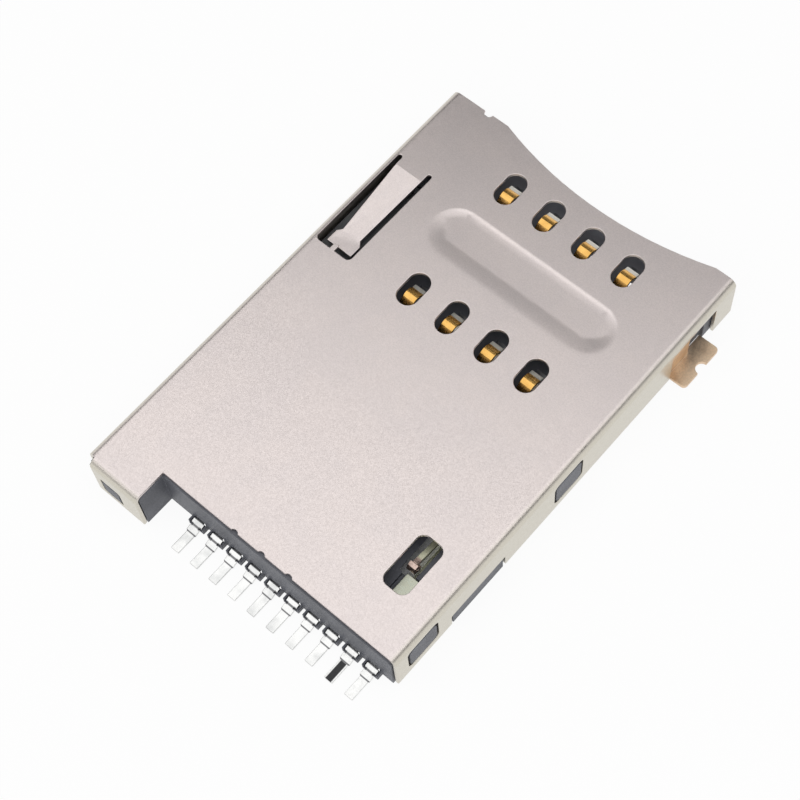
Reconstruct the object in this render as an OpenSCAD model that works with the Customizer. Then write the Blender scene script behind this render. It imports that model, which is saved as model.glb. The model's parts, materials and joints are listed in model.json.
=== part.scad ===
// Push-push socket for a 25 x 15 mm card, for soldering to a board.
// The card goes in along +Y with its contacts down; the board is the plane z = 0.
// The origin is on the board under the middle of the shell.

/* [Card] */
// Width of the card
card_w = 15; // [13.5:0.1:16.5]
// Length of the card
card_l = 25; // [23:0.1:27]
// Thickness of the card
card_t = 0.76; // [0.6:0.02:0.84]
// How far a latched card stands out of the mouth
card_out = 2.05; // [1.5:0.05:3]
// Contact grid centre ahead of the card's trailing edge
pad_set = 8.8; // [8.1:0.1:9.5]
// Chamfer on the card's leading corner
card_cut = 3; // [2.5:0.1:3.5]
// Play on each side of the card
card_play = 0.1; // [0.05:0.01:0.2]

/* [Contacts] */
// Pitch of the contacts across the card
pitch = 2.54; // [2.4:0.01:2.7]
// Distance between the two contact rows
row_gap = 7.62; // [7:0.02:8.2]
// Thickness of the terminal strip
strip_t = 0.15; // [0.1:0.01:0.18]
// Width of a spring arm
arm_w = 0.74; // [0.5:0.02:0.8]
// Length of a spring arm from its root to its crown
arm_run = 3; // [2.6:0.1:3.2]
// Free height of the crown above the board
crown_z = 2.75; // [2.5:0.05:2.85]
// Outer radius of the crown
crown_r = 0.5; // [0.4:0.05:0.6]
// Crown behind the middle of its window
crown_set = 0.15; // [0:0.05:0.3]
// Width of a lead under the floor
lead_w = 0.4; // [0.3:0.02:0.44]
// Height of a lead's underside above the board
lead_z = 0.3; // [0.2:0.05:0.4]
// Width of a solder tail
tail_w = 0.5; // [0.4:0.05:0.6]
// Length of a solder tail behind the housing
tail_out = 1.9; // [1.6:0.1:2.2]
// Width of the shoulder where a tail leaves the housing
shoulder_w = 0.7; // [0.6:0.05:0.85]
// Width of the neck behind the shoulder
neck_w = 0.4; // [0.3:0.05:0.5]
// Width of the collar on a tail's bend
collar_w = 0.62; // [0.55:0.01:0.7]

/* [Switch] */
// Width of the switch's spring arm
switch_w = 0.3; // [0.2:0.05:0.4]
// Width of the curl at the arm's end
curl_w = 0.5; // [0.4:0.05:0.6]
// Radius of the curl
curl_r = 0.32; // [0.25:0.01:0.36]
// Curl ahead of a latched card's leading edge
curl_set = 1.55; // [1.3:0.05:1.8]
// Width of the fixed contact
plate_w = 1.7; // [1.4:0.05:1.8]

/* [Housing] */
// Thickness of the floor under the card
floor_t = 1.65; // [1.55:0.05:1.8]
// Height of the card channel
channel_h = 1.25; // [1.15:0.05:1.4]
// Thickness of the side wall beside the card
side_wall = 0.55; // [0.45:0.05:0.9]
// Thickness of the rear bar
rear_wall = 1.15; // [1:0.05:1.4]
// Width of the corner block behind the rear bar
block_w = 3.35; // [3:0.05:4]
// Depth of the corner block behind the rear bar
block_d = 1.65; // [1.4:0.05:2]
// Floor thickness under the slider
slide_floor = 0.6; // [0.5:0.05:0.7]
// Width of the trough that carries each tail's shoulder
ledge_w = 1; // [0.9:0.05:1.1]
// How far a trough stands out behind the rear bar
ledge_d = 0.36; // [0.2:0.02:0.4]
// Gap round each terminal in its groove
groove_fit = 0.05; // [0.02:0.01:0.06]

/* [Shell] */
// Thickness of the sheet
sheet = 0.2; // [0.15:0.01:0.25]
// Outer radius of the folds
bend_r = 0.45; // [0.35:0.05:0.5]
// Gap between the shell and the housing
shell_fit = 0.05; // [0.02:0.01:0.1]
// Height of the shell's lower edge above the board
wall_z = 0.15; // [0.05:0.05:0.3]
// Width of the concave mouth
mouth_w = 13.5; // [12:0.1:14]
// Middle of the mouth beside the middle of the card
mouth_set = -0.35; // [-0.5:0.05:0.2]
// Depth of the concave mouth
mouth_d = 1.05; // [0.8:0.05:1.2]
// Length of a contact window
window_l = 2.05; // [1.8:0.05:2.3]
// Width of a contact window
window_w = 1.2; // [1:0.05:1.4]
// Length of the oval recess
dish_l = 12; // [10:0.1:13]
// Width of the oval recess
dish_w = 3.5; // [3:0.1:4]
// Depth of the oval recess
dish_d = 0.18; // [0.12:0.01:0.25]
// Width of the recess's soft rim
dish_rim = 1.25; // [0.8:0.05:1.45]
// Width of the switch window
view_w = 1.5; // [1.2:0.05:1.8]
// Length of the switch window
view_l = 3.1; // [2.7:0.05:3.4]

/* [Leaf] */
// Width at its crease of the leaf that holds the pin down
leaf_w = 1.75; // [1.6:0.05:1.85]
// Width of the leaf in front of its paddle
leaf_neck = 1.2; // [1:0.05:1.4]
// Width of the flat paddle at the leaf's tip
paddle_w = 1.65; // [1.45:0.05:1.75]
// Length of the leaf from its crease to its tip
leaf_l = 5.5; // [5.2:0.1:5.8]
// Crease behind the front edge
leaf_set = 5.5; // [5.2:0.1:5.8]
// Width of the slit on each side of the leaf
slit = 0.27; // [0.2:0.01:0.28]
// Gap behind the leaf's tip
end_gap = 0.46; // [0.4:0.02:0.5]
// Length of the flat paddle at the leaf's tip
paddle_l = 1; // [0.8:0.05:1.2]

/* [Push-push mechanism] */
// Width of the slider
slider_w = 2.1; // [2:0.05:2.4]
// Side play of the slider
slide_play = 0.1; // [0.05:0.01:0.15]
// Vertical running gap of the slider and the pin
run_gap = 0.05; // [0.03:0.01:0.08]
// Slider travel from the open place to the latched one
latch_travel = 4; // [3.6:0.1:4.2]
// Further travel to latch or release
over_travel = 0.5; // [0.4:0.05:0.6]
// Height of the cam face above the board
cam_top = 2.05; // [1.95:0.05:2.15]
// Depth of the heart groove
cam_depth = 0.5; // [0.4:0.05:0.55]
// Side throw of the pin in the heart groove
cam_side = 0.55; // [0.5:0.01:0.6]
// Play of the pin in the heart groove
cam_play = 0.06; // [0.04:0.01:0.08]
// Diameter of the pin's wire
wire_d = 0.3; // [0.26:0.02:0.32]
// Thickness of the card hook
hook_t = 1.2; // [1:0.05:1.4]
// Reach of the card hook over the floor
hook_reach = 2.3; // [2:0.1:3]
// Thickness of the arm that carries the hook
arm_t = 0.5; // [0.4:0.05:0.55]
// Outside diameter of the coil spring
spring_d = 1.36; // [1.2:0.02:1.4]
// Diameter of the coil spring's wire
coil_wire = 0.2; // [0.16:0.01:0.22]
// Turns of the coil spring
coil_turns = 14; // [10:1:18]

/* [Solder tabs] */
// Thickness of a tab
tab_t = 0.2; // [0.15:0.01:0.25]
// Length of a tab's foot along the wall
tab_l = 2.9; // [2.6:0.05:3.1]
// How far a foot stands out from the wall
tab_out = 0.9; // [0.7:0.05:1.2]
// Middle of a tab behind the front edge
tab_set = 3.6; // [3.4:0.05:3.7]

/* [Hidden] */
$fn = 48;
eps = 0.01;

// Overall size
travel = latch_travel + over_travel;
rear_gap = 0.2;
body_w = 2 * sheet + shell_fit + side_wall + 2 * card_play + card_w + 2 * slide_play + slider_w;
body_h = floor_t + channel_h + sheet;
body_l = card_l - card_out + over_travel + hook_t + rear_gap + rear_wall + block_d + shell_fit + sheet;

// Places along Y
front = -body_l / 2;
card_end = front + card_l - card_out;
grid_y = front - card_out + pad_set;
bar_y = card_end + over_travel + hook_t + rear_gap;
rear = bar_y + rear_wall;
edge_set = 0.1;
plate_rear = rear - edge_set;
block_rear = rear + block_d;
house_front = front + edge_set;

// Places along X
wall_in = body_w / 2 - sheet;
house_x = wall_in - shell_fit;
chan_x = -house_x + side_wall;
grid_x = chan_x + card_play + card_w / 2;
step_x = chan_x + card_w + 2 * card_play;
slider_x = step_x + slide_play;
mid_x = slider_x + slider_w / 2;
block_x = house_x - block_w;

// Heights
roof = body_h - sheet;
house_top = roof - shell_fit;
lead_mid = lead_z + strip_t / 2;
groove_top = lead_z + strip_t + groove_fit;
pin_z = cam_top + run_gap + wire_d / 2;
pin_gap = 0.02;
leaf_drop = roof - pin_z - wire_d / 2 - pin_gap;

// Mouth and leaf
mouth_r = (pow(mouth_w / 2, 2) + pow(mouth_d, 2)) / (2 * mouth_d);
crease = front + leaf_set;
leaf_tip = crease + leaf_l;
leaf_shift = 0.2;
leaf_x = mid_x - leaf_shift;
open_w = leaf_w + 2 * slit;
slit_run = 0.45;
nib_w = 0.3;
nib_gap = 0.08;
notch_d = 0.5;
dent_r = 0.25;
dent_gap = 1.75;
dent_set = 0.13;

// Pin and slider
tracer_y = leaf_tip - paddle_l / 2;
cam_margin = 0.6;
pivot_set = 0.55;
pivot_room = 0.5;
slider_heel = 3.2;
web_l = 1.2;
slider_front = tracer_y - travel - cam_margin;
pivot_y = slider_front - slide_play - pivot_set;
slider_rear = tracer_y + slider_heel;
hook_y = card_end - latch_travel;
hook_top = floor_t + card_t;
slider_z = slide_floor + run_gap;
spring_x = slider_x + arm_t + slide_play + spring_d / 2;
spring_z = slider_z + spring_d / 2;
peg_r = spring_d / 2 - coil_wire - slide_play;
peg_l = 0.8;
pin_bend = wire_d;
bore_depth = 1;
bore_low = cam_top - bore_depth;

// Terminals along Y: under the rear bar, behind it, and from a contact's root
tail_in = 0.5;
lead_in = 0.4;
shoulder_l = 0.3;
neck_l = 0.12;
bend_from = 0.1;
bend_to = 0.85;
ledge_top = lead_z - groove_fit - (ledge_d - bend_from) * lead_z / (bend_to - bend_from);
bar_l = 0.6;
shelf_run = 0.62;
shelf_drop = 0.36;
tip_run = 1;
tip_drop = 0.2;
tip_room = 0.2;

// Side openings of the shell
boss_gap = 0.12;
latch_l = 2.15;
latch_low = 0.65;
latch_drop = 0.55;
latch_high = body_h - latch_drop;
latch_r = 0.3;
latch_fore = 6.5;
latch_aft = 2;
latch_ys = [grid_y + latch_fore, rear - latch_aft];
flange_x = leaf_x;
flange_l = 1.35;
flange_low = 0.45;
flange_high = 1.85;
flange_r = 0.15;
tab_y = front + tab_set;
slot_lead = 0.6;
tab_slot_l = tab_l + slot_lead + groove_fit;
tab_slot_y = tab_y + (groove_fit - slot_lead) / 2;
slot_r = 0.15;
slot_low = -1;
tab_slot_drop = 0.7;
low_slot_set = 7.95;
low_slot_y = rear - low_slot_set;
low_slot_l = 3.95;
low_slot_high = 1.15;

// Switch
view_shift = 0.12;
view_set = 1.25;
view_x = tail_x(8) - view_shift;
view_y = card_end - view_set;
curl_rise = 0.17;
curl_y = card_end - curl_set;
curl_z = floor_t + curl_rise;
arm_shift = 0.15;
arm_x = tail_x(8) + arm_shift;
switch_run = 3.6;
switch_root = curl_y - switch_run;
root_rise = 0.3;
root_drop = 0.33;
root_z = floor_t - root_drop;
heel_rise = 0.06;
seat_drop = 0.25;
seat_gap = 0.1;
seat_room = 0.5;
seat_z = floor_t - seat_drop;
seat_front = curl_y + curl_r + seat_gap;
seat_rear = bar_y - seat_room;
seat_bend = seat_rear - seat_drop;
seat_x = tail_x(9) - lead_w / 2;

// Solder tabs
leg_cut = 1.2;
leg_l = tab_l - leg_cut;
leg_gap = 0.3;
foot_r = 0.25;
foot_notch = 0.35;

// Top of a tab's slot: the slot on the slider's side stays low, under the leaf
function tab_slot_high(s) = s > 0 ? low_slot_high : body_h - tab_slot_drop;

// Centre of tail i, counted from +X, at half the contact pitch
function tail_x(i) = grid_x + (1.75 - i / 2) * pitch;

// Centre of contact column k, counted from +X
function col_x(k) = grid_x + (1.5 - k) * pitch;

// Crown of row 0 at the mouth or row 1 at the rear
function crown_y(row) = grid_y + (row - 0.5) * row_gap + crown_set;

// Points on an arc in the side view, from angle a to angle b
function arc(c, r, a, b, n) = [for (i = [0:n]) c + r * [cos(a + (b - a) * i / n), sin(a + (b - a) * i / n)]];

// Points of one half of a plan, with their mirror images about X = 0
function mirrored(half) = concat(half, [for (i = [len(half) - 1:-1:0]) [-half[i][0], half[i][1]]]);

// A strip bent along points of its side view (y, z), lying across X
module bent_strip(path, t, w) {
    rotate([90, 0, 90])
        linear_extrude(height = w, center = true) {
            for (i = [0:len(path) - 2]) {
                d = path[i + 1] - path[i];
                translate(path[i])
                    rotate(atan2(d[1], d[0]))
                        translate([0, -t / 2])
                            square([norm(d), t]);
            }
            for (i = [1:len(path) - 2])
                translate(path[i])
                    circle(d = t);
        }
}

// A box from its lowest to its highest corner
module span(a, b) {
    translate(a)
        cube(b - a);
}

// A round-ended slot between two points of the plan
module slot2d(a, b, w) {
    d = b - a;
    for (p = [a, b])
        translate(p)
            circle(d = w);
    translate(a)
        rotate(atan2(d[1], d[0]))
            translate([0, -w / 2])
                square([norm(d), w]);
}

// A rectangle with round corners, centred
module round_rect(l, w, r) {
    square([l - 2 * r, w], center = true);
    square([l, w - 2 * r], center = true);
    for (x = [-1, 1], y = [-1, 1])
        translate([x * (l / 2 - r), y * (w / 2 - r)])
            circle(r = r);
}

// A rectangle that stands on the axis, with its upper corners rounded
module folded2d(w, h, r) {
    translate([-w / 2, 0])
        square([w, h - r]);
    translate([-w / 2 + r, 0])
        square([w - 2 * r, h]);
    for (s = [-1, 1])
        translate([s * (w / 2 - r), h - r])
            circle(r = r);
}

// An oval dish with a soft rim, its wide face on the plane z = 0
module dish(l, w, d, rim) {
    half = (l - w) / 2;
    steps = 8;
    side = [for (i = [0:steps]) let (t = i / steps) [w / 2 - rim * t, -d * t * t * (3 - 2 * t)]];
    for (s = [-1, 1])
        translate([s * half, 0, 0])
            rotate_extrude()
                polygon(concat([[0, 0]], side, [[0, -d]]));
    rotate([90, 0, 90])
        linear_extrude(height = 2 * half, center = true)
            polygon(concat([for (p = side) [-p[0], p[1]]], [for (i = [steps:-1:0]) side[i]]));
}

// The mouth's arc as a cutter, set back from the shell's edge by a margin
module mouth_cut(margin) {
    translate([grid_x + mouth_set, front + mouth_d - mouth_r, -eps])
        cylinder(h = body_h + 2 * eps, r = mouth_r + margin, $fn = 96);
}

// Shell
module shell_plan() {
    difference() {
        union() {
            translate([-body_w / 2, front])
                square([body_w, plate_rear - front]);
            translate([block_x, front])
                square([body_w / 2 - block_x, body_l - bend_r]);
        }
        translate([slider_x, front])
            circle(d = notch_d);
        for (i = [-1:1])
            translate([grid_x + i * dent_gap, plate_rear + dent_set])
                circle(r = dent_r);
    }
}

module shell_fold() {
    intersection() {
        translate([0, front, wall_z])
            rotate([90, 0, 180])
                linear_extrude(height = body_l)
                    difference() {
                        folded2d(body_w, body_h - wall_z, bend_r);
                        translate([0, -eps])
                            folded2d(2 * wall_in, roof - wall_z + eps, bend_r - sheet);
                    }
        linear_extrude(height = body_h)
            shell_plan();
    }
}

module shell_flange() {
    run = body_w / 2 - bend_r - block_x;
    mid = body_l / 2 - bend_r;
    arc_r = bend_r - sheet / 2;
    translate([block_x + run / 2, 0, 0])
        bent_strip(concat([[plate_rear, body_h - sheet / 2]],
            arc([mid, body_h - bend_r], arc_r, 90, 0, 6),
            [[body_l / 2 - sheet / 2, wall_z]]), sheet, run);
}

module leaf_plan() {
    neck_y = leaf_tip - paddle_l;
    polygon(mirrored([[leaf_w / 2, crease - slit], [leaf_w / 2, crease], [leaf_neck / 2, neck_y],
        [paddle_w / 2, neck_y + slit], [paddle_w / 2, leaf_tip]]));
}

module shell_leaf() {
    top = body_h - sheet / 2;
    low = top - leaf_drop;
    translate([leaf_x, 0, 0])
        intersection() {
            bent_strip([[crease - slit, top], [crease, top], [leaf_tip - paddle_l, low], [leaf_tip, low]],
                sheet, leaf_w);
            linear_extrude(height = body_h + eps)
                leaf_plan();
        }
}

module leaf_opening() {
    difference() {
        union() {
            translate([leaf_x, crease + (leaf_l + end_gap) / 2])
                round_rect(open_w, leaf_l + end_gap, slit);
            for (s = [-1, 1])
                translate([leaf_x + s * (leaf_w + slit) / 2, crease])
                    slot2d([0, -slit_run], [0, 2 * slit], slit);
        }
        translate([leaf_x - nib_w / 2, leaf_tip + nib_gap])
            square([nib_w, end_gap]);
    }
}

module side_window(x, y, l, low, high, r) {
    translate([x, y, (low + high) / 2])
        rotate([90, 0, 90])
            linear_extrude(height = 4 * sheet, center = true)
                round_rect(l, high - low, r);
}

module shell() {
    color("#c6bdb7") {
        difference() {
            union() {
                shell_fold();
                shell_flange();
                translate([grid_x, grid_y, roof + eps])
                    dish(dish_l, dish_w, dish_d, dish_rim);
            }
            mouth_cut(0);
            translate([grid_x, grid_y, body_h + eps])
                dish(dish_l, dish_w, dish_d, dish_rim);
            translate([0, 0, roof - eps])
                linear_extrude(height = sheet + 2 * eps) {
                    leaf_opening();
                    for (k = [0:3], row = [0, 1])
                        translate([col_x(k), crown_y(row) - crown_set])
                            slot2d([0, (window_w - window_l) / 2], [0, (window_l - window_w) / 2], window_w);
                    translate([view_x, view_y])
                        round_rect(view_w, view_l, bend_r);
                }
            for (y = latch_ys)
                side_window(-wall_in, y, latch_l, latch_low, latch_high, latch_r);
            side_window(wall_in, rear, latch_l, latch_low, latch_high, latch_r);
            for (s = [-1, 1])
                side_window(s * wall_in, tab_slot_y, tab_slot_l, slot_low, tab_slot_high(s), slot_r);
            side_window(-wall_in, low_slot_y + low_slot_l / 2, low_slot_l, slot_low, low_slot_high, slot_r);
            translate([flange_x, body_l / 2, 0])
                rotate(90)
                    side_window(0, 0, flange_l, flange_low, flange_high, flange_r);
        }
        shell_leaf();
    }
}

// Housing
module housing_blocks() {
    span([-house_x, house_front, 0], [step_x, bar_y + eps, floor_t]);
    span([-house_x, house_front, 0], [chan_x, bar_y + eps, house_top]);
    span([step_x - eps, house_front, 0], [house_x, bar_y + eps, slide_floor]);
    span([-house_x, bar_y, 0], [house_x, rear, house_top]);
    span([block_x, rear - eps, 0], [house_x, block_rear, house_top]);
    span([step_x - eps, house_front, 0], [house_x, slider_front - slide_play, cam_top]);
    span([step_x, house_front, 0], [house_x, pivot_y - pivot_room, house_top]);
}

// The blocks with their upper edges rounded to lie inside the shell's folds
module housing_base() {
    ahead = front - bend_r;
    intersection() {
        housing_blocks();
        translate([0, front, 0])
            rotate([90, 0, 180])
                linear_extrude(height = body_l)
                    folded2d(2 * house_x, house_top, bend_r - sheet);
        translate([0, (block_rear + ahead) / 2, 0])
            rotate([90, 0, 90])
                linear_extrude(height = body_w, center = true)
                    folded2d(block_rear - ahead, house_top, bend_r - sheet);
    }
}

// A trough that carries each tail's shoulder
module tail_ledges() {
    inner = shoulder_w / 2 + groove_fit;
    for (i = [0:9])
        translate([tail_x(i), rear, 0])
            difference() {
                span([-ledge_w / 2, -eps, 0], [ledge_w / 2, ledge_d, lead_z + strip_t]);
                span([-inner, 0, ledge_top], [inner, ledge_d + eps, groove_top]);
            }
}

// A rib that fills the low slot of the shell's wall
module slot_rib() {
    span([shell_fit - body_w / 2, low_slot_y + boss_gap, 0],
        [eps - house_x, low_slot_y + low_slot_l - boss_gap, low_slot_high - boss_gap]);
}

module card_key() {
    key_gap = 0.3;
    leg = bar_y - card_end - over_travel + card_cut + card_play - key_gap;
    translate([chan_x, bar_y, floor_t - eps])
        linear_extrude(height = card_t + eps)
            polygon([[-eps, eps], [-eps, -leg], [leg, eps]]);
}

module latch_boss(x, y, l, low, high, r) {
    translate([x, y, (low + high) / 2])
        rotate([90, 0, 90])
            linear_extrude(height = sheet + shell_fit)
                round_rect(l - 2 * boss_gap, high - low - 2 * boss_gap, r);
}

module latch_bosses() {
    for (y = latch_ys)
        latch_boss(-body_w / 2, y, latch_l, latch_low, latch_high, latch_r);
    latch_boss(house_x, rear, latch_l, latch_low, latch_high, latch_r);
    translate([flange_x, block_rear, 0])
        rotate(90)
            latch_boss(0, 0, flange_l, flange_low, flange_high, flange_r);
}

module terminal_cuts() {
    wide = lead_w + 2 * groove_fit;
    tail_groove = tail_w + 2 * groove_fit;
    for (k = [0:3], row = [0, 1]) {
        i = 2 * k + row;
        root = crown_y(row) + arm_run;
        side = tail_x(i) - col_x(k);
        half = arm_w / 2 + groove_fit;
        span([tail_x(i) - wide / 2, root, -eps], [tail_x(i) + wide / 2, rear + eps, groove_top]);
        span([col_x(k) + min(side - lead_w / 2 - groove_fit, -half), root - groove_fit, -eps],
            [col_x(k) + max(side + lead_w / 2 + groove_fit, half), root + bar_l + groove_fit, groove_top]);
        span([col_x(k) - half, crown_y(row) - tip_run - tip_room, -eps],
            [col_x(k) + half, root + 2 * groove_fit, floor_t + eps]);
    }
    for (i = [0:9])
        span([tail_x(i) - tail_groove / 2, rear - tail_in - 2 * groove_fit, -eps],
            [tail_x(i) + tail_groove / 2, rear + eps, groove_top]);
}

module switch_cuts() {
    wide = lead_w + 2 * groove_fit;
    room = 0.2;
    root_front = switch_root - 2 * root_rise;
    span([tail_x(8) - wide / 2, root_front, -eps], [tail_x(8) + wide / 2, rear + eps, groove_top]);
    span([tail_x(9) - wide / 2, seat_bend - root_rise, -eps], [tail_x(9) + wide / 2, rear + eps, groove_top]);
    span([tail_x(8) - wide / 2, root_front, -eps], [arm_x + curl_w, curl_y + curl_r + room, house_top]);
    span([tail_x(9) - wide / 2, seat_bend - root_rise - room, -eps],
        [tail_x(9) + wide / 2, seat_rear + room / 2, house_top]);
    span([seat_x - groove_fit, seat_front - groove_fit, seat_z],
        [seat_x + plate_w + room, seat_rear + room / 2, house_top]);
}

module tab_recess(s) {
    depth = tab_t - shell_fit + groove_fit;
    span([s > 0 ? house_x - depth : -house_x - eps, tab_y - tab_l / 2 - groove_fit, -eps],
        [s > 0 ? house_x + eps : -house_x + depth, tab_y + tab_l / 2 + groove_fit, tab_slot_high(s)]);
}

module housing() {
    color("#2d2f34")
        difference() {
            union() {
                housing_base();
                card_key();
                latch_bosses();
                tail_ledges();
                slot_rib();
                translate([spring_x, bar_y + eps, spring_z])
                    rotate([90, 0, 0])
                        cylinder(h = peg_l, r = peg_r);
            }
            mouth_cut(sheet - shell_fit);
            terminal_cuts();
            switch_cuts();
            for (s = [-1, 1])
                tab_recess(s);
            translate([mid_x, pivot_y, bore_low])
                cylinder(h = body_h, d = wire_d + 2 * run_gap);
        }
}

// A tail's outline in plan, from under the rear bar to its tip
module tail_plan() {
    collar = shoulder_l + neck_l;
    collar_end = bend_to - neck_l;
    polygon(mirrored([[tail_w / 2, -tail_in], [tail_w / 2, groove_fit], [shoulder_w / 2, groove_fit],
        [shoulder_w / 2, shoulder_l], [neck_w / 2, shoulder_l], [neck_w / 2, collar], [collar_w / 2, collar],
        [collar_w / 2, collar_end], [tail_w / 2, collar_end], [tail_w / 2, tail_out]]));
}

// Terminals
module tail(x) {
    foot = strip_t / 2;
    translate([x, rear, 0])
        intersection() {
            bent_strip([[-tail_in, lead_mid], [bend_from, lead_mid], [bend_to, foot], [tail_out, foot]],
                strip_t, shoulder_w);
            linear_extrude(height = lead_z + strip_t + eps)
                tail_plan();
        }
}

module contact(k, row) {
    x = tail_x(2 * k + row);
    side = col_x(k) - x;
    top = crown_y(row);
    root = top + arm_run;
    centre = [top, crown_z - crown_r];
    crown_from = 54;
    crown_to = 148;
    color("#d6a046") {
        tail(x);
        span([x - lead_w / 2, root, lead_z], [x + lead_w / 2, rear - lead_in, lead_z + strip_t]);
        span([min(x - lead_w / 2, x + side - arm_w / 2), root, lead_z],
            [max(x + lead_w / 2, x + side + arm_w / 2), root + bar_l, lead_z + strip_t]);
        translate([col_x(k), 0, 0])
            bent_strip(concat([[root + bar_l / 2, lead_mid], [root, lead_mid]],
                arc(centre, crown_r - strip_t / 2, crown_from, crown_to, 8),
                [[top - shelf_run, crown_z - shelf_drop], [top - tip_run, floor_t - tip_drop]]),
                strip_t, arm_w);
    }
}

// Card-detect switch
module detect_spring() {
    x = tail_x(8);
    curl_from = 105;
    curl_to = -150;
    roll = arc([curl_y, curl_z], curl_r - strip_t / 2, curl_from, curl_to, 10);
    heel = [[switch_root, root_z], [switch_root + root_rise, root_z + heel_rise]];
    color("#d8d6cc") {
        tail(x);
        translate([x, 0, 0])
            bent_strip(concat([[rear - lead_in, lead_mid], [switch_root, lead_mid],
                [switch_root - root_rise, (lead_mid + root_z) / 2]], heel), strip_t, lead_w);
        translate([arm_x, 0, 0]) {
            bent_strip(concat(heel, [roll[0]]), strip_t, switch_w);
            bent_strip(roll, strip_t, curl_w);
        }
    }
}

module detect_plate() {
    x = tail_x(9);
    seat = seat_z + groove_fit + strip_t / 2;
    rise = seat_bend - root_rise;
    color("#d8d6cc") {
        tail(x);
        translate([x, 0, 0])
            bent_strip([[rear - lead_in, lead_mid], [seat_bend, lead_mid], [rise, seat],
                [rise - root_rise, seat]], strip_t, lead_w);
        span([seat_x, seat_front, seat - strip_t / 2], [seat_x + plate_w, rise, seat + strip_t / 2]);
    }
}

// Push-push mechanism
module heart_groove() {
    back_share = 0.4;
    start = [0, 0];
    into = [-cam_side, -travel];
    latch = [0, -latch_travel];
    out = [cam_side, -travel];
    back = [cam_side, -back_share * latch_travel];
    lane = wire_d + 2 * cam_play;
    slot2d(start, into, lane);
    slot2d(into, latch, lane);
    slot2d(latch, out, lane);
    slot2d(out, back, lane);
    slot2d(back, start, lane);
    for (p = [into, out])
        slot2d(p - [0, 2 * cam_play], p, lane);
}

module slider() {
    nose = 0.35;
    far = slider_x + slider_w;
    hook_x = slider_x - hook_reach;
    color("#3b3e45")
        difference() {
            union() {
                translate([0, 0, slider_z])
                    linear_extrude(height = cam_top - slider_z)
                        polygon([[slider_x, slider_front], [far - nose, slider_front],
                            [far, slider_front + nose], [far, slider_rear], [slider_x, slider_rear]]);
                span([slider_x, slider_rear - eps, slider_z], [slider_x + arm_t, hook_y + hook_t, hook_top]);
                span([slider_x, slider_rear - web_l, cam_top - eps],
                    [slider_x + arm_t, slider_rear, hook_top]);
                translate([0, 0, floor_t + run_gap])
                    linear_extrude(height = hook_top - floor_t - run_gap)
                        polygon([[slider_x + arm_t, hook_y], [hook_x + nose, hook_y], [hook_x, hook_y + nose],
                            [hook_x, hook_y + hook_t - nose], [hook_x + nose, hook_y + hook_t],
                            [slider_x + arm_t, hook_y + hook_t]]);
                translate([spring_x, slider_rear + peg_l, spring_z])
                    rotate([90, 0, 0])
                        cylinder(h = peg_l + eps, r = peg_r);
            }
            translate([mid_x, tracer_y, cam_top - cam_depth])
                linear_extrude(height = cam_depth + eps)
                    heart_groove();
        }
}

// One closed turn at each end of the coil, evenly spaced turns between them
module eject_spring() {
    per_turn = 16;
    sides = 6;
    low = slider_rear + pin_gap + coil_wire / 2;
    high = bar_y - pin_gap - coil_wire / 2;
    rings = coil_turns * per_turn;
    ring_r = (spring_d - coil_wire) / 2;
    active = (high - low - 2 * coil_wire) / (coil_turns - 2);
    y_at = function(u) low + min(u, 1) * coil_wire + max(0, min(u - 1, coil_turns - 2)) * active
        + max(0, u - coil_turns + 1) * coil_wire;
    points = [for (i = [0:rings], j = [0:sides - 1])
        let (a = 360 * i / per_turn, b = 360 * j / sides, r = ring_r + coil_wire / 2 * cos(b))
        [spring_x + r * cos(a), y_at(i / per_turn) + coil_wire / 2 * sin(b), spring_z + r * sin(a)]];
    walls = [for (i = [0:rings - 1], j = [0:sides - 1])
        let (n = (j + 1) % sides)
        [i * sides + j, (i + 1) * sides + j, (i + 1) * sides + n, i * sides + n]];
    caps = [[for (j = [0:sides - 1]) j], [for (j = [sides - 1:-1:0]) rings * sides + j]];
    color("#b9bbbd")
        polyhedron(points = points, faces = concat(walls, caps));
}

module pin_corner(y, from) {
    translate([mid_x, y, pin_z - pin_bend])
        rotate([90, 0, 90])
            rotate([0, 0, from])
                rotate_extrude(angle = 90)
                    translate([pin_bend, 0])
                        circle(d = wire_d);
}

module pin_leg(y, low) {
    translate([mid_x, y, low])
        cylinder(h = pin_z - pin_bend - low, d = wire_d);
}

module link_pin() {
    color("#c9cbcd") {
        pin_leg(pivot_y, bore_low + run_gap);
        pin_corner(pivot_y + pin_bend, 90);
        translate([mid_x, tracer_y - pin_bend, pin_z])
            rotate([90, 0, 0])
                cylinder(h = tracer_y - pivot_y - 2 * pin_bend, d = wire_d);
        pin_corner(tracer_y - pin_bend, 0);
        pin_leg(tracer_y, cam_top - cam_depth + run_gap);
    }
}

// Solder tabs: a leg in the housing's side and a notched foot on the board
module solder_tab(s) {
    leg_x = house_x - tab_t + shell_fit;
    color("#cda877")
        mirror([s > 0 ? 0 : 1, 0, 0]) {
            span([leg_x, tab_y + tab_l / 2 - leg_l, 0],
                [leg_x + tab_t, tab_y + tab_l / 2, tab_slot_high(s) - leg_gap]);
            linear_extrude(height = tab_t)
                difference() {
                    union() {
                        translate([body_w / 2 + tab_out / 2, tab_y])
                            round_rect(tab_out, tab_l, foot_r);
                        translate([leg_x, tab_y - tab_l / 2])
                            square([body_w / 2 + tab_out / 2 - leg_x, tab_l]);
                    }
                    translate([body_w / 2 + tab_out, tab_y])
                        circle(r = foot_notch);
                }
        }
}

module solder_tab_left() {
    solder_tab(-1);
}

module solder_tab_right() {
    solder_tab(1);
}

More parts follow.
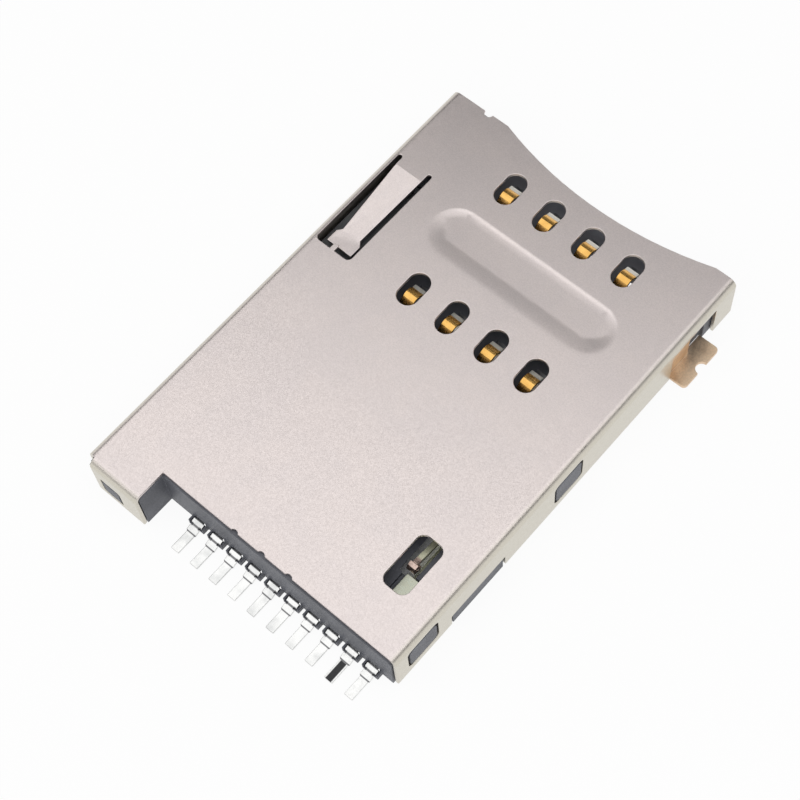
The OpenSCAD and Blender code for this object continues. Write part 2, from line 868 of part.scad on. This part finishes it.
shell();
housing();
contact(0, 0);  // contact_c1
contact(1, 0);  // contact_c2
contact(2, 0);  // contact_c3
contact(3, 0);  // contact_c4
contact(0, 1);  // contact_c5
contact(1, 1);  // contact_c6
contact(2, 1);  // contact_c7
contact(3, 1);  // contact_c8
detect_spring();
detect_plate();
slider();
eject_spring();
link_pin();
solder_tab_left();
solder_tab_right();
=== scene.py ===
import json
import math

import bmesh
import bpy
from mathutils import Matrix, Vector


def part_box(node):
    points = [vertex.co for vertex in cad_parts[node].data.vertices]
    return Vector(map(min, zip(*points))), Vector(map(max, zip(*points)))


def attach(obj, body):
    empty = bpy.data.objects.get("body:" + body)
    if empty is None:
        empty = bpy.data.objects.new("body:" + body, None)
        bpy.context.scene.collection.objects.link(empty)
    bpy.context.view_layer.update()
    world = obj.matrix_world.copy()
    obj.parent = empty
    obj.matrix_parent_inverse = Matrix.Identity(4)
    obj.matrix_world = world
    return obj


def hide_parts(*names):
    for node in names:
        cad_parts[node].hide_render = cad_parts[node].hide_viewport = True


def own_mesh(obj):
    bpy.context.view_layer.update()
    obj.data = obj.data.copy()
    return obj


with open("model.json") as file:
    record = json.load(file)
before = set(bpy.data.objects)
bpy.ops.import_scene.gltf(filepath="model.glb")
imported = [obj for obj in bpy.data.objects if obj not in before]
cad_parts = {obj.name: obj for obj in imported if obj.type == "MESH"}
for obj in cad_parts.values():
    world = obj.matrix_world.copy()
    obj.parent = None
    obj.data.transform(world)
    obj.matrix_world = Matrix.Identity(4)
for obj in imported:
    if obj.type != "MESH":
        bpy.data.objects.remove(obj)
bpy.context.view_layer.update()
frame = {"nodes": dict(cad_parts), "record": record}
scene = bpy.context.scene
mm = 0.001
print("frame loaded:", len(frame["nodes"]), "nodes")

# the camera stands where the photograph was taken from, its place in millimetres
cameraSet = {
    "lens": 81.0,
    "sensor": 36.0,
    "clip": (1 * mm, 10),
    "place": (-28.766, 27.911, 81.974),
    "up": (0.57552, -0.69221, 0.43545),
    "back": (-0.32106, 0.29848, 0.8988),
}


def makeCamera(s):
    data = bpy.data.cameras.new("photoCamera")
    data.lens = s["lens"]
    data.sensor_width = s["sensor"]
    data.clip_start, data.clip_end = s["clip"]
    cam = bpy.data.objects.new("photoCamera", data)
    scene.collection.objects.link(cam)
    back = Vector(s["back"]).normalized()
    right = Vector(s["up"]).cross(back).normalized()
    turn = Matrix((right, back.cross(right), back)).transposed()
    cam.matrix_world = Matrix.Translation(Vector(s["place"]) * mm) @ turn.to_4x4()
    scene.camera = cam


makeCamera(cameraSet)
print("camera set")


# small helpers for node trees
def put(tree, kind, **inputs):
    node = tree.nodes.new(kind)
    for key, value in inputs.items():
        node.inputs[key].default_value = value
    return node


def mathNode(tree, operation, *values):
    node = tree.nodes.new("ShaderNodeMath")
    node.operation = operation
    for socket, value in zip(node.inputs, values):
        if isinstance(value, (int, float)):
            socket.default_value = value
        else:
            tree.links.new(value, socket)
    return node.outputs[0]


def awayFrom(tree, value, middle):
    return mathNode(tree, "ABSOLUTE", mathNode(tree, "SUBTRACT", value, middle))


# a smooth step from one level to another; a band may also be given from its high end to its low one
def rangeNode(tree, value, fromLow, fromHigh, toLow=0.0, toHigh=1.0):
    levels = {"From Min": fromLow, "From Max": fromHigh, "To Min": toLow, "To Max": toHigh}
    node = put(tree, "ShaderNodeMapRange", **levels)
    node.interpolation_type = "SMOOTHSTEP"
    tree.links.new(value, node.inputs["Value"])
    return node.outputs["Result"]


# a noise row holds the node's own scale and detail, counted in millimetres
def noiseNode(tree, vector, row):
    node = put(tree, "ShaderNodeTexNoise", **{key.capitalize(): value for key, value in row.items()})
    tree.links.new(vector, node.inputs["Vector"])
    return node.outputs["Fac"]


def mixColor(tree, factor, first, second, blend="MIX"):
    node = tree.nodes.new("ShaderNodeMix")
    node.data_type = "RGBA"
    node.blend_type = blend
    for key, value in ((0, factor), (6, first), (7, second)):  # the colour sockets of a Mix node
        if isinstance(value, (tuple, list)):
            node.inputs[key].default_value = (*value, 1)
        elif isinstance(value, (int, float)):
            node.inputs[key].default_value = value
        else:
            tree.links.new(value, node.inputs[key])
    return node.outputs[2]


def bumpNode(tree, height, row, under=None):
    node = put(tree, "ShaderNodeBump", Strength=row["strength"], Distance=row["depth"] * mm)
    tree.links.new(height, node.inputs["Height"])
    if under is not None:
        tree.links.new(under, node.inputs["Normal"])
    return node.outputs["Normal"]


def axesOf(tree, vector):
    node = tree.nodes.new("ShaderNodeSeparateXYZ")
    tree.links.new(vector, node.inputs[0])
    return node.outputs


# a finish starts with its shader and the object's coordinates in millimetres
def startFinish(name, **constants):
    mat = bpy.data.materials.new(name)
    mat.use_nodes = True
    tree = mat.node_tree
    tree.nodes.clear()
    out = tree.nodes.new("ShaderNodeOutputMaterial")
    shader = put(tree, "ShaderNodeBsdfPrincipled", **constants)
    tree.links.new(shader.outputs["BSDF"], out.inputs["Surface"])
    coord = tree.nodes.new("ShaderNodeTexCoord")
    scale = put(tree, "ShaderNodeMapping", Scale=(1 / mm, 1 / mm, 1 / mm))
    tree.links.new(coord.outputs["Object"], scale.inputs["Vector"])
    return mat, tree, shader, scale.outputs["Vector"]


# and ends with its colour, roughness and relief
def endFinish(tree, shader, color, rough, normal):
    for key, value in (("Base Color", color), ("Roughness", rough), ("Normal", normal)):
        tree.links.new(value, shader.inputs[key])


# the part of a noise's values that is spread over a whole mix
fineBand = (0.3, 0.7)
cloudBand = (0.35, 0.65)

# blasted nickel sheet: fine grain, a faint warm mottle, the folded sides painted a little darker and creamier
# as painted shade on the same sheet
nickelSet = {
    "warm": (0.70, 0.63, 0.61),
    "cool": (0.68, 0.615, 0.60),
    "wallPaintedShade": (0.65, 0.615, 0.535),
    "foldX": (8.8, 9.2),
    "foldY": (13.5, 13.9),
    "grain": {"scale": 1 / 0.06, "detail": 3.0, "roughness": 0.6},
    "mottle": {"scale": 1 / 3.2, "detail": 4.0, "roughness": 0.6},
    "speck": {"scale": 7.5, "detail": 1.0},
    "shade": (0.93, 1.05),
    "rough": (0.31, 0.38),
    "grainBump": {"strength": 0.4, "depth": 0.008},
    "mottleBump": {"strength": 0.15, "depth": 0.008},
}


def nickelFinish(s):
    mat, tree, shader, place = startFinish("blastedNickel", Metallic=1.0)
    grain = noiseNode(tree, place, s["grain"])
    mottle = noiseNode(tree, place, s["mottle"])
    speck = noiseNode(tree, place, s["speck"])
    axes = axesOf(tree, place)
    side = rangeNode(tree, mathNode(tree, "ABSOLUTE", axes[0]), *s["foldX"])
    fold = mathNode(tree, "MAXIMUM", side, rangeNode(tree, axes[1], *s["foldY"]))
    color = mixColor(tree, rangeNode(tree, mottle, *cloudBand), s["cool"], s["warm"])
    # painted shade: the folded sides take a darker, creamier colour
    color = mixColor(tree, fold, color, s["wallPaintedShade"])
    color = mixColor(tree, 1.0, color, rangeNode(tree, grain, *fineBand, *s["shade"]), "MULTIPLY")
    rough = rangeNode(tree, speck, *fineBand, *s["rough"])
    fine = bumpNode(tree, grain, s["grainBump"])
    endFinish(tree, shader, color, rough, bumpNode(tree, mottle, s["mottleBump"], fine))
    return mat


# moulded plastic: fine spark texture, faint flow clouds
mouldSet = {
    "housing": {"name": "darkMould", "dark": (0.09, 0.094, 0.11), "light": (0.125, 0.13, 0.15)},
    "slider": {"name": "greyMould", "dark": (0.075, 0.078, 0.085), "light": (0.11, 0.115, 0.12)},
    "texture": {"scale": 1 / 0.06, "detail": 2.0},
    "cloud": {"scale": 1 / 1.8, "detail": 3.0},
    "rough": (0.42, 0.62),
    "bump": {"strength": 0.45, "depth": 0.008},
}


def mouldFinish(s, tint):
    mat, tree, shader, place = startFinish(tint["name"])
    texture = noiseNode(tree, place, s["texture"])
    cloud = noiseNode(tree, place, s["cloud"])
    color = mixColor(tree, rangeNode(tree, cloud, *cloudBand), tint["dark"], tint["light"])
    rough = rangeNode(tree, texture, *fineBand, *s["rough"])
    endFinish(tree, shader, color, rough, bumpNode(tree, texture, s["bump"]))
    return mat


# solder tails of all strips: tin from the bar on, painted shade as dark lines across it at the bends, by
# middle and half width
tailSet = {
    "tin": (0.76, 0.76, 0.75),
    "tinY": (11.5, 11.8),
    "groove": (0.16, 0.16, 0.165),
    "grooveY": ((12.09, 0.05), (12.41, 0.075), (12.79, 0.05)),
    "grooveCore": 0.4,
}


# the painted shade lines at the tail bends
def grooveMask(tree, along, s):
    total = 0.0
    for middle, half in s["grooveY"]:
        line = rangeNode(tree, awayFrom(tree, along, middle), half, half * s["grooveCore"])
        total = mathNode(tree, "MAXIMUM", line, total)
    return total


# contacts: gold on the crowns, paler nickel in front of them, tin on the tails
contactSet = {
    "gold": (0.84, 0.50, 0.15),
    "goldDeep": (0.70, 0.40, 0.11),
    "goldBand": (0.35, 0.7),
    "nickel": (0.82, 0.82, 0.76),
    "tinGrey": (0.60, 0.605, 0.60),
    "tinBand": (0.4, 0.75),
    "rowGap": 7.62,
    "crownY": -10.86,
    "tipReach": 0.4,
    "tipStart": (0.0, 0.06),
    "tipEnd": (0.7, 0.8),
    "lines": {"scale": 20.0, "detail": 2.0},
    "lineStretch": (1.0, 0.12, 1.0),
    "cloud": {"scale": 1.4, "detail": 3.0},
    "shade": (0.96, 1.02),
    "roughGold": 0.24,
    "roughTip": 0.5,
    "roughTin": 0.2,
    "roughLines": (-0.04, 0.08),
    "bump": {"strength": 0.08, "depth": 0.004},
}


def contactFinish(s, tail):
    mat, tree, shader, place = startFinish("goldAndTin", Metallic=1.0)
    axes = axesOf(tree, place)
    drawn = put(tree, "ShaderNodeMapping", Scale=s["lineStretch"])  # rolling lines run along the strip
    tree.links.new(place, drawn.inputs["Vector"])
    lines = noiseNode(tree, drawn.outputs["Vector"], s["lines"])
    cloud = noiseNode(tree, place, s["cloud"])
    gold = mixColor(tree, rangeNode(tree, cloud, *s["goldBand"]), s["gold"], s["goldDeep"])
    tin = mixColor(tree, rangeNode(tree, cloud, *s["tinBand"]), tail["tin"], s["tinGrey"])
    # distance ahead of the nearest row's crown
    ahead = mathNode(tree, "SUBTRACT", s["crownY"] - s["tipReach"], axes[1])
    ahead = mathNode(tree, "WRAP", ahead, s["rowGap"], 0.0)
    fade = rangeNode(tree, ahead, *s["tipEnd"], 1, 0)
    tip = mathNode(tree, "MULTIPLY", rangeNode(tree, ahead, *s["tipStart"]), fade)
    isTail = rangeNode(tree, axes[1], *tail["tinY"])
    color = mixColor(tree, tip, gold, s["nickel"])
    color = mixColor(tree, isTail, color, tin)
    # painted shade: dark lines across the tails at the bends
    color = mixColor(tree, grooveMask(tree, axes[1], tail), color, tail["groove"])
    color = mixColor(tree, 1.0, color, rangeNode(tree, lines, *fineBand, *s["shade"]), "MULTIPLY")
    rough = rangeNode(tree, tip, 0, 1, s["roughGold"], s["roughTip"])
    rough = mathNode(tree, "MINIMUM", rough, rangeNode(tree, isTail, 0, 1, 1, s["roughTin"]))
    rough = mathNode(tree, "ADD", rough, rangeNode(tree, lines, *fineBand, *s["roughLines"]))
    endFinish(tree, shader, color, rough, bumpNode(tree, lines, s["bump"]))
    return mat


# switch strips: pale plated bronze, matt along the arm and painted near white there as a painted highlight,
# the top of the curl painted pinkish as a painted reflection, one foot painted near black
switchSet = {
    "pale": (0.40, 0.42, 0.35),
    "bright": (0.52, 0.53, 0.43),
    "arm": (0.93, 0.93, 0.72),
    "armY": (7.2, 7.1),
    "armRough": 0.6,
    "curlReflection": (0.60, 0.46, 0.40),
    "curlY": 7.45,
    "curlReach": (0.5, 0.3),
    "curlZ": (1.55, 1.7),
    "darkFoot": (0.04, 0.04, 0.042),
    "darkFootX": -6.57,
    "darkFootHalf": (0.2, 0.15),
    "darkFootY": (12.76, 12.86),
    "lines": {"scale": 9.0, "detail": 3.0},
    "rough": (0.24, 0.40),
    "bump": {"strength": 0.25, "depth": 0.006},
}


def switchFinish(s, tail):
    mat, tree, shader, place = startFinish("platedBronze", Metallic=1.0)
    axes = axesOf(tree, place)
    lines = noiseNode(tree, place, s["lines"])
    onArm = rangeNode(tree, axes[1], *s["armY"])
    raised = rangeNode(tree, axes[2], *s["curlZ"])
    curl = rangeNode(tree, awayFrom(tree, axes[1], s["curlY"]), *s["curlReach"])
    curl = mathNode(tree, "MULTIPLY", curl, raised)
    # one foot painted near black
    onFoot = rangeNode(tree, axes[1], *s["darkFootY"])
    darkFoot = rangeNode(tree, awayFrom(tree, axes[0], s["darkFootX"]), *s["darkFootHalf"])
    darkFoot = mathNode(tree, "MULTIPLY", darkFoot, onFoot)
    color = mixColor(tree, rangeNode(tree, lines, *cloudBand), s["pale"], s["bright"])
    # painted highlight: the arm painted near white and yellowish
    color = mixColor(tree, onArm, color, s["arm"])
    # painted reflection: the top of the curl painted pinkish
    color = mixColor(tree, curl, color, s["curlReflection"])
    color = mixColor(tree, rangeNode(tree, axes[1], *tail["tinY"]), color, tail["tin"])
    color = mixColor(tree, darkFoot, color, s["darkFoot"])
    # painted shade: dark lines across the tails at the bends
    color = mixColor(tree, grooveMask(tree, axes[1], tail), color, tail["groove"])
    rough = rangeNode(tree, lines, *fineBand, *s["rough"])
    rough = mathNode(tree, "MAXIMUM", rough, mathNode(tree, "MULTIPLY", onArm, s["armRough"]))
    endFinish(tree, shader, color, rough, bumpNode(tree, lines, s["bump"]))
    return mat


# drawn steel wire with faint die lines
wireSet = {
    "bright": (0.66, 0.665, 0.67),
    "dull": (0.47, 0.475, 0.48),
    "lines": {"scale": 25.0, "detail": 2.0},
    "cloud": {"scale": 1.1, "detail": 3.0},
    "rough": (0.18, 0.36),
    "bump": {"strength": 0.3, "depth": 0.004},
}


def wireFinish(s):
    mat, tree, shader, place = startFinish("drawnWire", Metallic=1.0)
    lines = noiseNode(tree, place, s["lines"])
    cloud = noiseNode(tree, place, s["cloud"])
    color = mixColor(tree, rangeNode(tree, cloud, *cloudBand), s["bright"], s["dull"])
    rough = rangeNode(tree, lines, *fineBand, *s["rough"])
    endFinish(tree, shader, color, rough, bumpNode(tree, lines, s["bump"]))
    return mat


# copper-coloured tabs with random tarnish, stronger towards the wall as painted shade
tabSet = {
    "fresh": (0.78, 0.60, 0.43),
    "tarnishAndShade": (0.64, 0.46, 0.31),
    "tarnishBand": (0.35, 0.7),
    "outerX": (9.3, 9.9),
    "outerTarnishAndShade": 0.4,
    "grain": {"scale": 1 / 0.09, "detail": 2.0},
    "cloud": {"scale": 1.5, "detail": 4.0},
    "shade": (0.9, 1.06),
    "rough": (0.28, 0.44),
    "bump": {"strength": 0.3, "depth": 0.006},
}


def tabFinish(s):
    mat, tree, shader, place = startFinish("copperFlash", Metallic=1.0)
    grain = noiseNode(tree, place, s["grain"])
    cloud = noiseNode(tree, place, s["cloud"])
    axes = axesOf(tree, place)
    outer = rangeNode(tree, mathNode(tree, "ABSOLUTE", axes[0]), *s["outerX"])
    # painted shade: the tarnish mix is weaker on the outer side, so the tab darkens towards the wall
    share = rangeNode(tree, outer, 0, 1, 1, s["outerTarnishAndShade"])
    tarnishAndShadeMix = mathNode(tree, "MULTIPLY", rangeNode(tree, cloud, *s["tarnishBand"]), share)
    color = mixColor(tree, tarnishAndShadeMix, s["fresh"], s["tarnishAndShade"])
    color = mixColor(tree, 1.0, color, rangeNode(tree, grain, *fineBand, *s["shade"]), "MULTIPLY")
    rough = rangeNode(tree, grain, *fineBand, *s["rough"])
    endFinish(tree, shader, color, rough, bumpNode(tree, grain, s["bump"]))
    return mat


finishes = {
    "shell": nickelFinish(nickelSet),
    "housing": mouldFinish(mouldSet, mouldSet["housing"]),
    "slider": mouldFinish(mouldSet, mouldSet["slider"]),
    "contacts": contactFinish(contactSet, tailSet),
    "switch": switchFinish(switchSet, tailSet),
    "wire": wireFinish(wireSet),
    "tabs": tabFinish(tabSet),
}
print("finishes made:", len(finishes))

# pieces cut from the CAD shapes: merged, flat faces joined, every sharp edge broken by so many millimetres
edgeSet = {
    "mergeGap": 2e-7,
    "flatAngle": math.radians(0.4),
    "sharpAngle": math.radians(38),
    "segments": 2,
    "planeStep": 0.01 * mm,
    "facingDigits": 2,
}
pieceSet = {
    "shell": {"name": "shell_cover", "edge": 0.035},
    "housing": {"name": "moulded_base", "edge": 0.03},
    "detect_spring": {"name": "switch_arm", "edge": 0.025},
    "detect_plate": {"name": "switch_seat", "edge": 0.025},
    "slider": {"name": "push_slider", "edge": 0.05},
    "link_pin": {"name": "latch_wire", "edge": 0.03},
    "solder_tab_left": {"name": "hold_tab_left", "edge": 0.035},
    "solder_tab_right": {"name": "hold_tab_right", "edge": 0.035},
}
contactCount = 8
for row in range(1, contactCount + 1):
    pieceSet["contact_c%d" % row] = {"name": "contact_strip_%d" % row, "edge": 0.03}
slotOf = {row["node"]: row["material_slot"] for row in frame["record"]["subparts"]}
bodyOf = {node: body for body, nodes in frame["record"]["behaviour"]["bodies"].items() for node in nodes}
flatSlot, edgeSlot = 0, 1  # broken edges keep a slot of their own until the normals are set


def plainMesh(obj):
    deps = bpy.context.evaluated_depsgraph_get()
    result = bpy.data.meshes.new_from_object(obj.evaluated_get(deps), depsgraph=deps)
    obj.modifiers.clear()
    obj.data = result


def cleanCopy(node, name):
    mesh = frame["nodes"][node].data.copy()
    mesh.name = name
    work = bmesh.new()
    work.from_mesh(mesh)
    bmesh.ops.remove_doubles(work, verts=work.verts, dist=edgeSet["mergeGap"])
    bmesh.ops.dissolve_degenerate(work, edges=work.edges, dist=edgeSet["mergeGap"])
    bmesh.ops.dissolve_limit(work, angle_limit=edgeSet["flatAngle"], verts=work.verts, edges=work.edges)
    for face in work.faces:
        face.smooth = True
    work.to_mesh(mesh)
    work.free()
    mesh.materials.clear()
    return mesh


# the oval recess as it shows: shallow, crisp on the side of the mouth, fading out on the other side
recessSet = {
    "middle": (-0.85, -7.2),
    "length": 12.0,
    "width": 3.5,
    "solid": {"rim": 1.25, "depth": 0.18, "lift": 0.01},
    "shown": {"start": 0.174, "crisp": 0.3, "soft": 1.4, "depth": 0.055},
}


def easeIn(share):
    share = min(max(share, 0), 1)
    return share * share * (3 - 2 * share)


def shapeRecess(mesh, s):
    solid, shown = s["solid"], s["shown"]
    half = (s["length"] - s["width"]) / 2
    for vertex in mesh.vertices:
        x = vertex.co.x / mm - s["middle"][0]
        y = vertex.co.y / mm - s["middle"][1]
        out = Vector((x - min(max(x, -half), half), y))
        inside = s["width"] / 2 - out.length
        if inside <= shown["start"]:
            continue
        side = 0.5 + 0.5 * out.y / out.length if out.length > 0 else 0.5  # 0 at the mouth, 1 at the rear
        rim = shown["crisp"] + (shown["soft"] - shown["crisp"]) * side
        was = max(solid["depth"] * easeIn(inside / solid["rim"]) - solid["lift"], 0)
        vertex.co.z += (was - shown["depth"] * easeIn((inside - shown["start"]) / rim)) * mm


# each flat face keeps its own normal up to its broken edges, so that no streak crosses it
def evenNormals(mesh):
    mesh.update()
    keys, facing, area = [], {}, {}
    around = [{} for _ in mesh.vertices]
    for face in mesh.polygons:
        n = face.normal
        plane = round(n.dot(face.center) / edgeSet["planeStep"])
        key = (face.material_index, *(round(c, edgeSet["facingDigits"]) for c in n), plane)
        keys.append(key)
        facing.setdefault(key, n.copy())
        area[key] = area.get(key, 0) + face.area
        for index in face.vertices:
            around[index][key] = True
    normals = []
    for face, key in zip(mesh.polygons, keys):
        for index in face.vertices:
            near = [k for k in around[index] if k[0] == flatSlot]
            if key[0] == flatSlot:
                near = [k for k in near if facing[k].angle(facing[key]) < edgeSet["sharpAngle"]]
            total = Vector()
            for k in near or around[index]:
                total += facing[k] * area[k]
            normals.append(total.normalized())
    mesh.polygons.foreach_set("material_index", [flatSlot] * len(mesh.polygons))
    mesh.materials.pop(index=edgeSlot)
    mesh.normals_split_custom_set(normals)


def dressNode(node, settings):
    obj = bpy.data.objects.new(settings["name"], cleanCopy(node, settings["name"]))
    scene.collection.objects.link(obj)
    for _ in (flatSlot, edgeSlot):
        obj.data.materials.append(finishes[slotOf[node]])
    edge = obj.modifiers.new("edge", "BEVEL")
    edge.width = settings["edge"] * mm
    edge.segments = edgeSet["segments"]
    edge.limit_method = "ANGLE"
    edge.angle_limit = edgeSet["sharpAngle"]
    edge.use_clamp_overlap = False
    edge.material = edgeSlot
    plainMesh(obj)
    if node == "shell":
        shapeRecess(obj.data, recessSet)
    low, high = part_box(node)
    for vertex in obj.data.vertices:  # a broken corner never stands out of its own solid
        vertex.co = [min(max(c, a), b) for c, a, b in zip(vertex.co, low, high)]
    evenNormals(obj.data)
    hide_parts(node)
    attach(obj, bodyOf[node])
    return obj


for node, settings in pieceSet.items():
    made = dressNode(node, settings)
    print("dressed", settings["name"], len(made.data.polygons), "faces")

# the eject spring follows a helix with one closed turn at each end
coilSet = {
    "Coil radius": 0.58 * mm,
    "Wire radius": 0.1 * mm,
    "Turns": 14.0,
    "Start": -0.12 * mm,
    "End": 10.76 * mm,
    "Across": 8.13 * mm,
    "Height": 1.33 * mm,
}
coilShape = {"pointsPerTurn": 24, "wireSides": 10, "anchorY": 10.9 * mm, "keep": 0.596}


# the helix's points from the share of the wire's length that lies behind each
def helixPlace(tree, inputs, along):
    def times(first, second):
        return mathNode(tree, "MULTIPLY", first, second)

    def plus(first, second):
        return mathNode(tree, "ADD", first, second)

    def minus(first, second):
        return mathNode(tree, "SUBTRACT", first, second)

    turns = inputs["Turns"]
    turn = times(along, turns)
    angle = times(turn, 2 * math.pi)
    # pitch: the wire's own width in the end turns, the rest shared by the turns between
    wire = times(inputs["Wire radius"], 2.0)
    inner = minus(turns, 2.0)
    length = minus(inputs["End"], inputs["Start"])
    pitch = mathNode(tree, "DIVIDE", minus(length, times(wire, 2.0)), inner)
    first = mathNode(tree, "MINIMUM", turn, 1.0)
    middle = mathNode(tree, "MINIMUM", mathNode(tree, "MAXIMUM", minus(turn, 1.0), 0.0), inner)
    last = mathNode(tree, "MAXIMUM", plus(minus(turn, turns), 1.0), 0.0)
    rise = plus(times(plus(first, last), wire), times(middle, pitch))
    x = times(mathNode(tree, "COSINE", angle), inputs["Coil radius"])
    z = times(mathNode(tree, "SINE", angle), inputs["Coil radius"])
    place = tree.nodes.new("ShaderNodeCombineXYZ")
    ways = (plus(x, inputs["Across"]), plus(rise, inputs["Start"]), plus(z, inputs["Height"]))
    for socket, value in zip(place.inputs, ways):
        tree.links.new(value, socket)
    return place.outputs[0]


def coilTree(material):
    tree = bpy.data.node_groups.new("coilAlongHelix", "GeometryNodeTree")
    tree.interface.new_socket("Geometry", in_out="OUTPUT", socket_type="NodeSocketGeometry")
    for key, value in coilSet.items():
        socket = tree.interface.new_socket(key, in_out="INPUT", socket_type="NodeSocketFloat")
        socket.default_value = value
    inputs = tree.nodes.new("NodeGroupInput").outputs
    line = tree.nodes.new("GeometryNodeCurvePrimitiveLine")
    points = tree.nodes.new("GeometryNodeResampleCurve")
    tree.links.new(line.outputs["Curve"], points.inputs["Curve"])
    count = mathNode(tree, "MULTIPLY", inputs["Turns"], coilShape["pointsPerTurn"])
    tree.links.new(count, points.inputs["Count"])
    along = tree.nodes.new("GeometryNodeSplineParameter").outputs["Factor"]
    bend = tree.nodes.new("GeometryNodeSetPosition")
    tree.links.new(points.outputs["Curve"], bend.inputs["Geometry"])
    tree.links.new(helixPlace(tree, inputs, along), bend.inputs["Position"])
    ring = put(tree, "GeometryNodeCurvePrimitiveCircle", Resolution=coilShape["wireSides"])
    tree.links.new(inputs["Wire radius"], ring.inputs["Radius"])
    sweep = tree.nodes.new("GeometryNodeCurveToMesh")
    sweep.inputs["Fill Caps"].default_value = True
    tree.links.new(bend.outputs["Geometry"], sweep.inputs["Curve"])
    tree.links.new(ring.outputs["Curve"], sweep.inputs["Profile Curve"])
    smooth = tree.nodes.new("GeometryNodeSetShadeSmooth")
    tree.links.new(sweep.outputs["Mesh"], smooth.inputs["Geometry"])
    real = tree.nodes.new("GeometryNodeRealizeInstances")
    tree.links.new(smooth.outputs["Geometry"], real.inputs["Geometry"])
    paint = tree.nodes.new("GeometryNodeSetMaterial")
    paint.inputs["Material"].default_value = material
    tree.links.new(real.outputs["Geometry"], paint.inputs["Geometry"])
    out = tree.nodes.new("NodeGroupOutput")
    tree.links.new(paint.outputs["Geometry"], out.inputs[0])
    return tree


def makeCoil():
    obj = bpy.data.objects.new("eject_coil", bpy.data.meshes.new("eject_coil"))
    scene.collection.objects.link(obj)
    tree = coilTree(finishes["wire"])
    nodes = obj.modifiers.new("coil", "NODES")
    nodes.node_group = tree
    for item in tree.interface.items_tree:
        if item.in_out == "INPUT":
            nodes[item.identifier] = coilSet[item.name]
    plainMesh(obj)
    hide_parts("eject_spring")
    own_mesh(obj)
    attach(obj, "socket")
    return obj


coil = makeCoil()
print("coil made:", len(coil.data.polygons), "faces")

# studio: pale floor that is white to the eye and keeps the shadow, one wide softbox above,
# a dome that is white at the horizon and dark overhead
studioSet = {
    "floorSize": 1.6,
    "floorColor": (0.93, 0.93, 0.93),
    "floorGlow": 0.92,
    "underX": (8.6 * mm, 8.3 * mm),
    "underY": (11.4 * mm, 11.1 * mm),
    "horizon": 1.0,
    "zenith": 0.08,
    "domeFrom": 0.2,
    "domeTo": 0.6,
    "lampPlace": (-0.0384, 0.1221, 0.30),
    "lampTurn": math.radians(17.5),
    "lampSize": 0.6,
    "lampPower": 1.44,
}


def floorFinish(s):
    mat = bpy.data.materials.new("paleFloor")
    mat.use_nodes = True
    tree = mat.node_tree
    tree.nodes.clear()
    out = tree.nodes.new("ShaderNodeOutputMaterial")
    matt = put(tree, "ShaderNodeBsdfDiffuse", Color=(*s["floorColor"], 1))
    glow = put(tree, "ShaderNodeEmission", Color=(1, 1, 1, 1), Strength=1.0)
    path = tree.nodes.new("ShaderNodeLightPath").outputs
    # under the socket the floor stays in its shadow, so that no white shows through the slots
    axes = axesOf(tree, tree.nodes.new("ShaderNodeTexCoord").outputs["Object"])
    underX = rangeNode(tree, mathNode(tree, "ABSOLUTE", axes[0]), *s["underX"])
    underY = rangeNode(tree, mathNode(tree, "ABSOLUTE", axes[1]), *s["underY"])
    clear = mathNode(tree, "SUBTRACT", 1.0, mathNode(tree, "MULTIPLY", underX, underY))
    seen = mathNode(tree, "MAXIMUM", path["Is Camera Ray"], path["Is Transmission Ray"])
    seen = mathNode(tree, "MAXIMUM", mathNode(tree, "MULTIPLY", seen, clear), path["Is Glossy Ray"])
    mix = tree.nodes.new("ShaderNodeMixShader")
    tree.links.new(mathNode(tree, "MULTIPLY", seen, s["floorGlow"]), mix.inputs[0])
    tree.links.new(matt.outputs[0], mix.inputs[1])
    tree.links.new(glow.outputs[0], mix.inputs[2])
    tree.links.new(mix.outputs[0], out.inputs["Surface"])
    return mat


def paleFloor(s):
    half = s["floorSize"] / 2
    corners = [(-half, -half, 0), (half, -half, 0), (half, half, 0), (-half, half, 0)]
    mesh = bpy.data.meshes.new("floor")
    mesh.from_pydata(corners, [], [(0, 1, 2, 3)])
    mesh.materials.append(floorFinish(s))
    floor = bpy.data.objects.new("floor", mesh)
    scene.collection.objects.link(floor)


def softLamp(s):
    data = bpy.data.lights.new("softbox", "AREA")
    data.shape = "SQUARE"
    data.size = s["lampSize"]
    data.energy = s["lampPower"]
    lamp = bpy.data.objects.new("softbox", data)
    scene.collection.objects.link(lamp)
    lamp.location = s["lampPlace"]
    lamp.rotation_euler = (0, 0, s["lampTurn"])


def studioDome(s):
    world = bpy.data.worlds.new("studio")
    scene.world = world
    world.use_nodes = True
    tree = world.node_tree
    coord = tree.nodes.new("ShaderNodeTexCoord")
    height = axesOf(tree, coord.outputs["Generated"])[2]
    level = rangeNode(tree, height, s["domeFrom"], s["domeTo"], s["horizon"], s["zenith"])
    back = tree.nodes["Background"]
    back.inputs["Color"].default_value = (1, 1, 1, 1)
    tree.links.new(level, back.inputs["Strength"])


paleFloor(studioSet)
softLamp(studioSet)
studioDome(studioSet)
scene.view_settings.view_transform = "Standard"
print("studio set")

print("scene ready")
